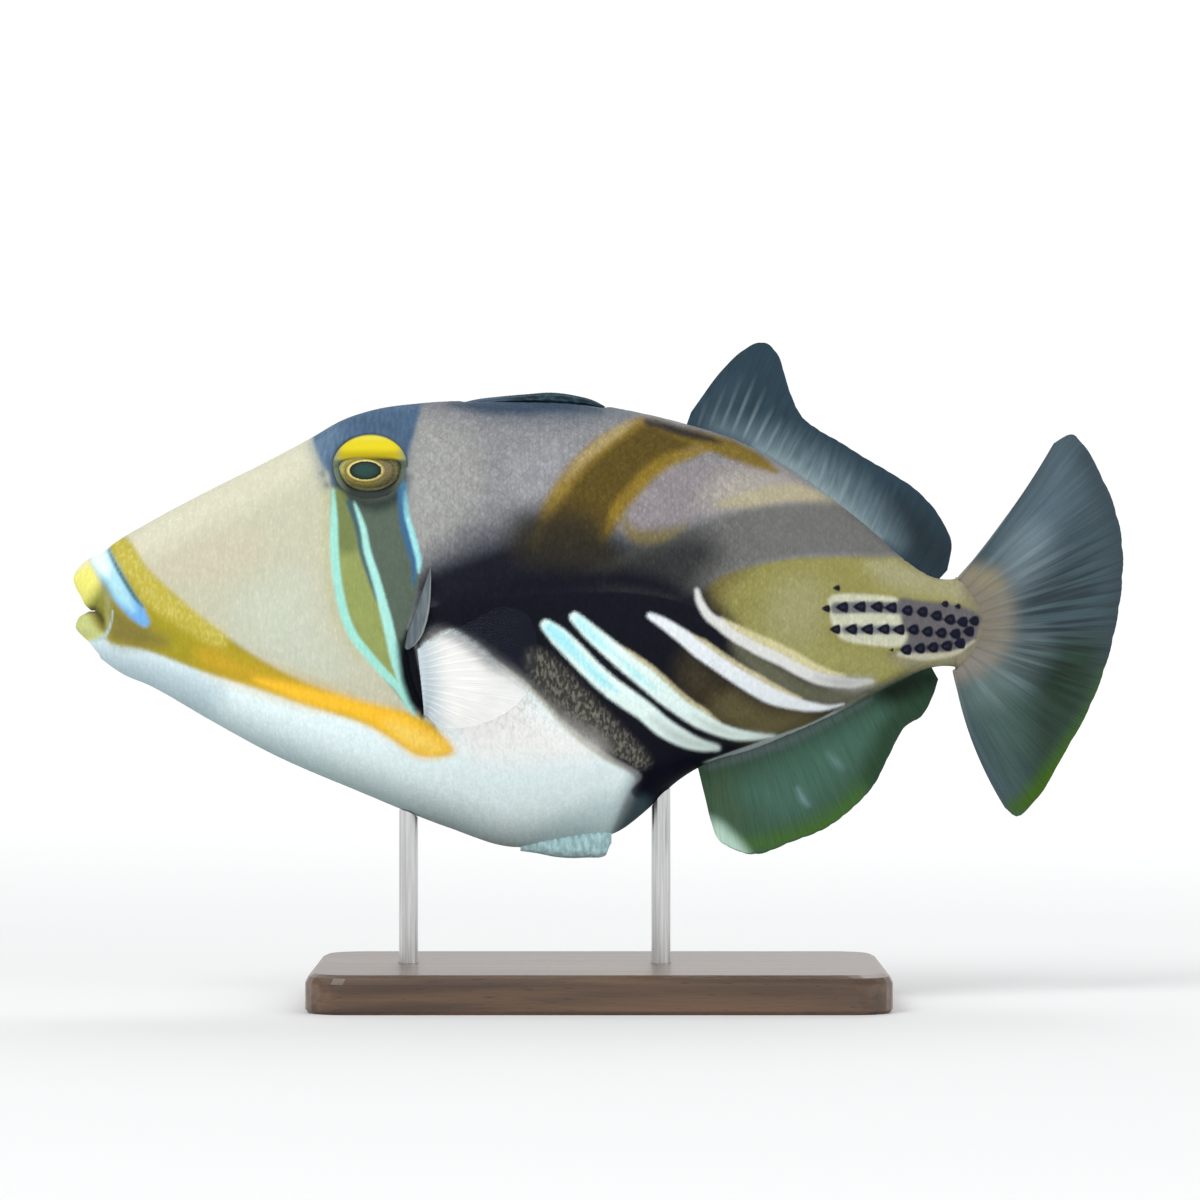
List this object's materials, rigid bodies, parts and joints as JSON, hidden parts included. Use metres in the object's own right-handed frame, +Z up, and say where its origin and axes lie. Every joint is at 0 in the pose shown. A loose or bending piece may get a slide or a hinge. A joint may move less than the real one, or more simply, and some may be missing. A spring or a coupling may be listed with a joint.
{
  "type": "display model of a triggerfish",
  "caption": "Life-size still model of a picasso triggerfish swimming with raised fins, held by two short rods on a flat rounded base.",
  "frame": {"origin": "middle of the underside of the stand's base, which is also the middle of the whole model's bounding box", "axes": "the fish faces -X with its left side towards -Y; +Z is up"},
  "size_m": [0.2223, 0.08, 0.1382],
  "materials": {
    "skin": "satin painted scales with the species' bands and stripes",
    "eye": "glossy",
    "dark_spines": "rough dark",
    "fin": "satin, slightly clear, with raised rays",
    "clear_fin": "clear with white rays",
    "stand_wood": "dark satin varnish",
    "stand_steel": "brushed"
  },
  "bodies": {
    "root": {"head": "skin", "trunk": "skin", "tail_stalk": "skin", "gill_flap_left": "skin", "gill_flap_right": "skin", "upper_lip": "skin", "lower_lip": "skin", "eye_left": "eye", "eye_right": "eye", "spiny_dorsal_fin": "dark_spines", "pelvic_spine": "dark_spines", "soft_dorsal_fin": "fin", "anal_fin": "fin", "caudal_fin": "fin", "pectoral_fin_left": "clear_fin", "pectoral_fin_right": "clear_fin", "stand_base": "stand_wood", "stand_rod_front": "stand_steel", "stand_rod_rear": "stand_steel"}
  },
  "joints": []
}
